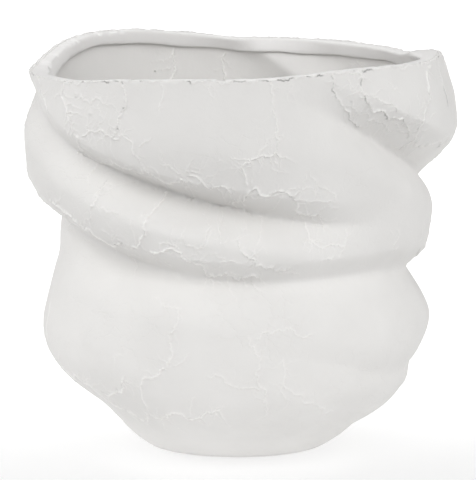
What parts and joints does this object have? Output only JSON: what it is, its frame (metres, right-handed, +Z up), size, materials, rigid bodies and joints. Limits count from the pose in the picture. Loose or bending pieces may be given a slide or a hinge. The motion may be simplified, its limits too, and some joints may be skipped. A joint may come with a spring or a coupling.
{
  "type": "folded ceramic pot",
  "caption": "Open-topped round pot, folded and twisted into slanting rolls, with a crackled white coat and a small foot.",
  "frame": {"origin": "under the middle of the pot, on the surface that its pads stand on", "axes": "+Z up out of the mouth, +X to the right as seen from the front, where the widest fold crosses, and +Y to the back"},
  "size_m": [0.3007, 0.2874, 0.282],
  "materials": {
    "slip_white": "matt white slip with fine crackle, dry and slightly rough",
    "slip_band": "matt white, smoother than the body",
    "clay_white": "matt white fired clay",
    "pad_grey": "grey felt"
  },
  "bodies": {
    "root": {"slip_coat": "slip_white", "clay_wall": "clay_white", "rim_band": "slip_band", "foot_disc": "slip_white", "floor_slab": "clay_white", "foot_pad_1": "pad_grey", "foot_pad_2": "pad_grey", "foot_pad_3": "pad_grey", "foot_pad_4": "pad_grey"}
  },
  "joints": []
}
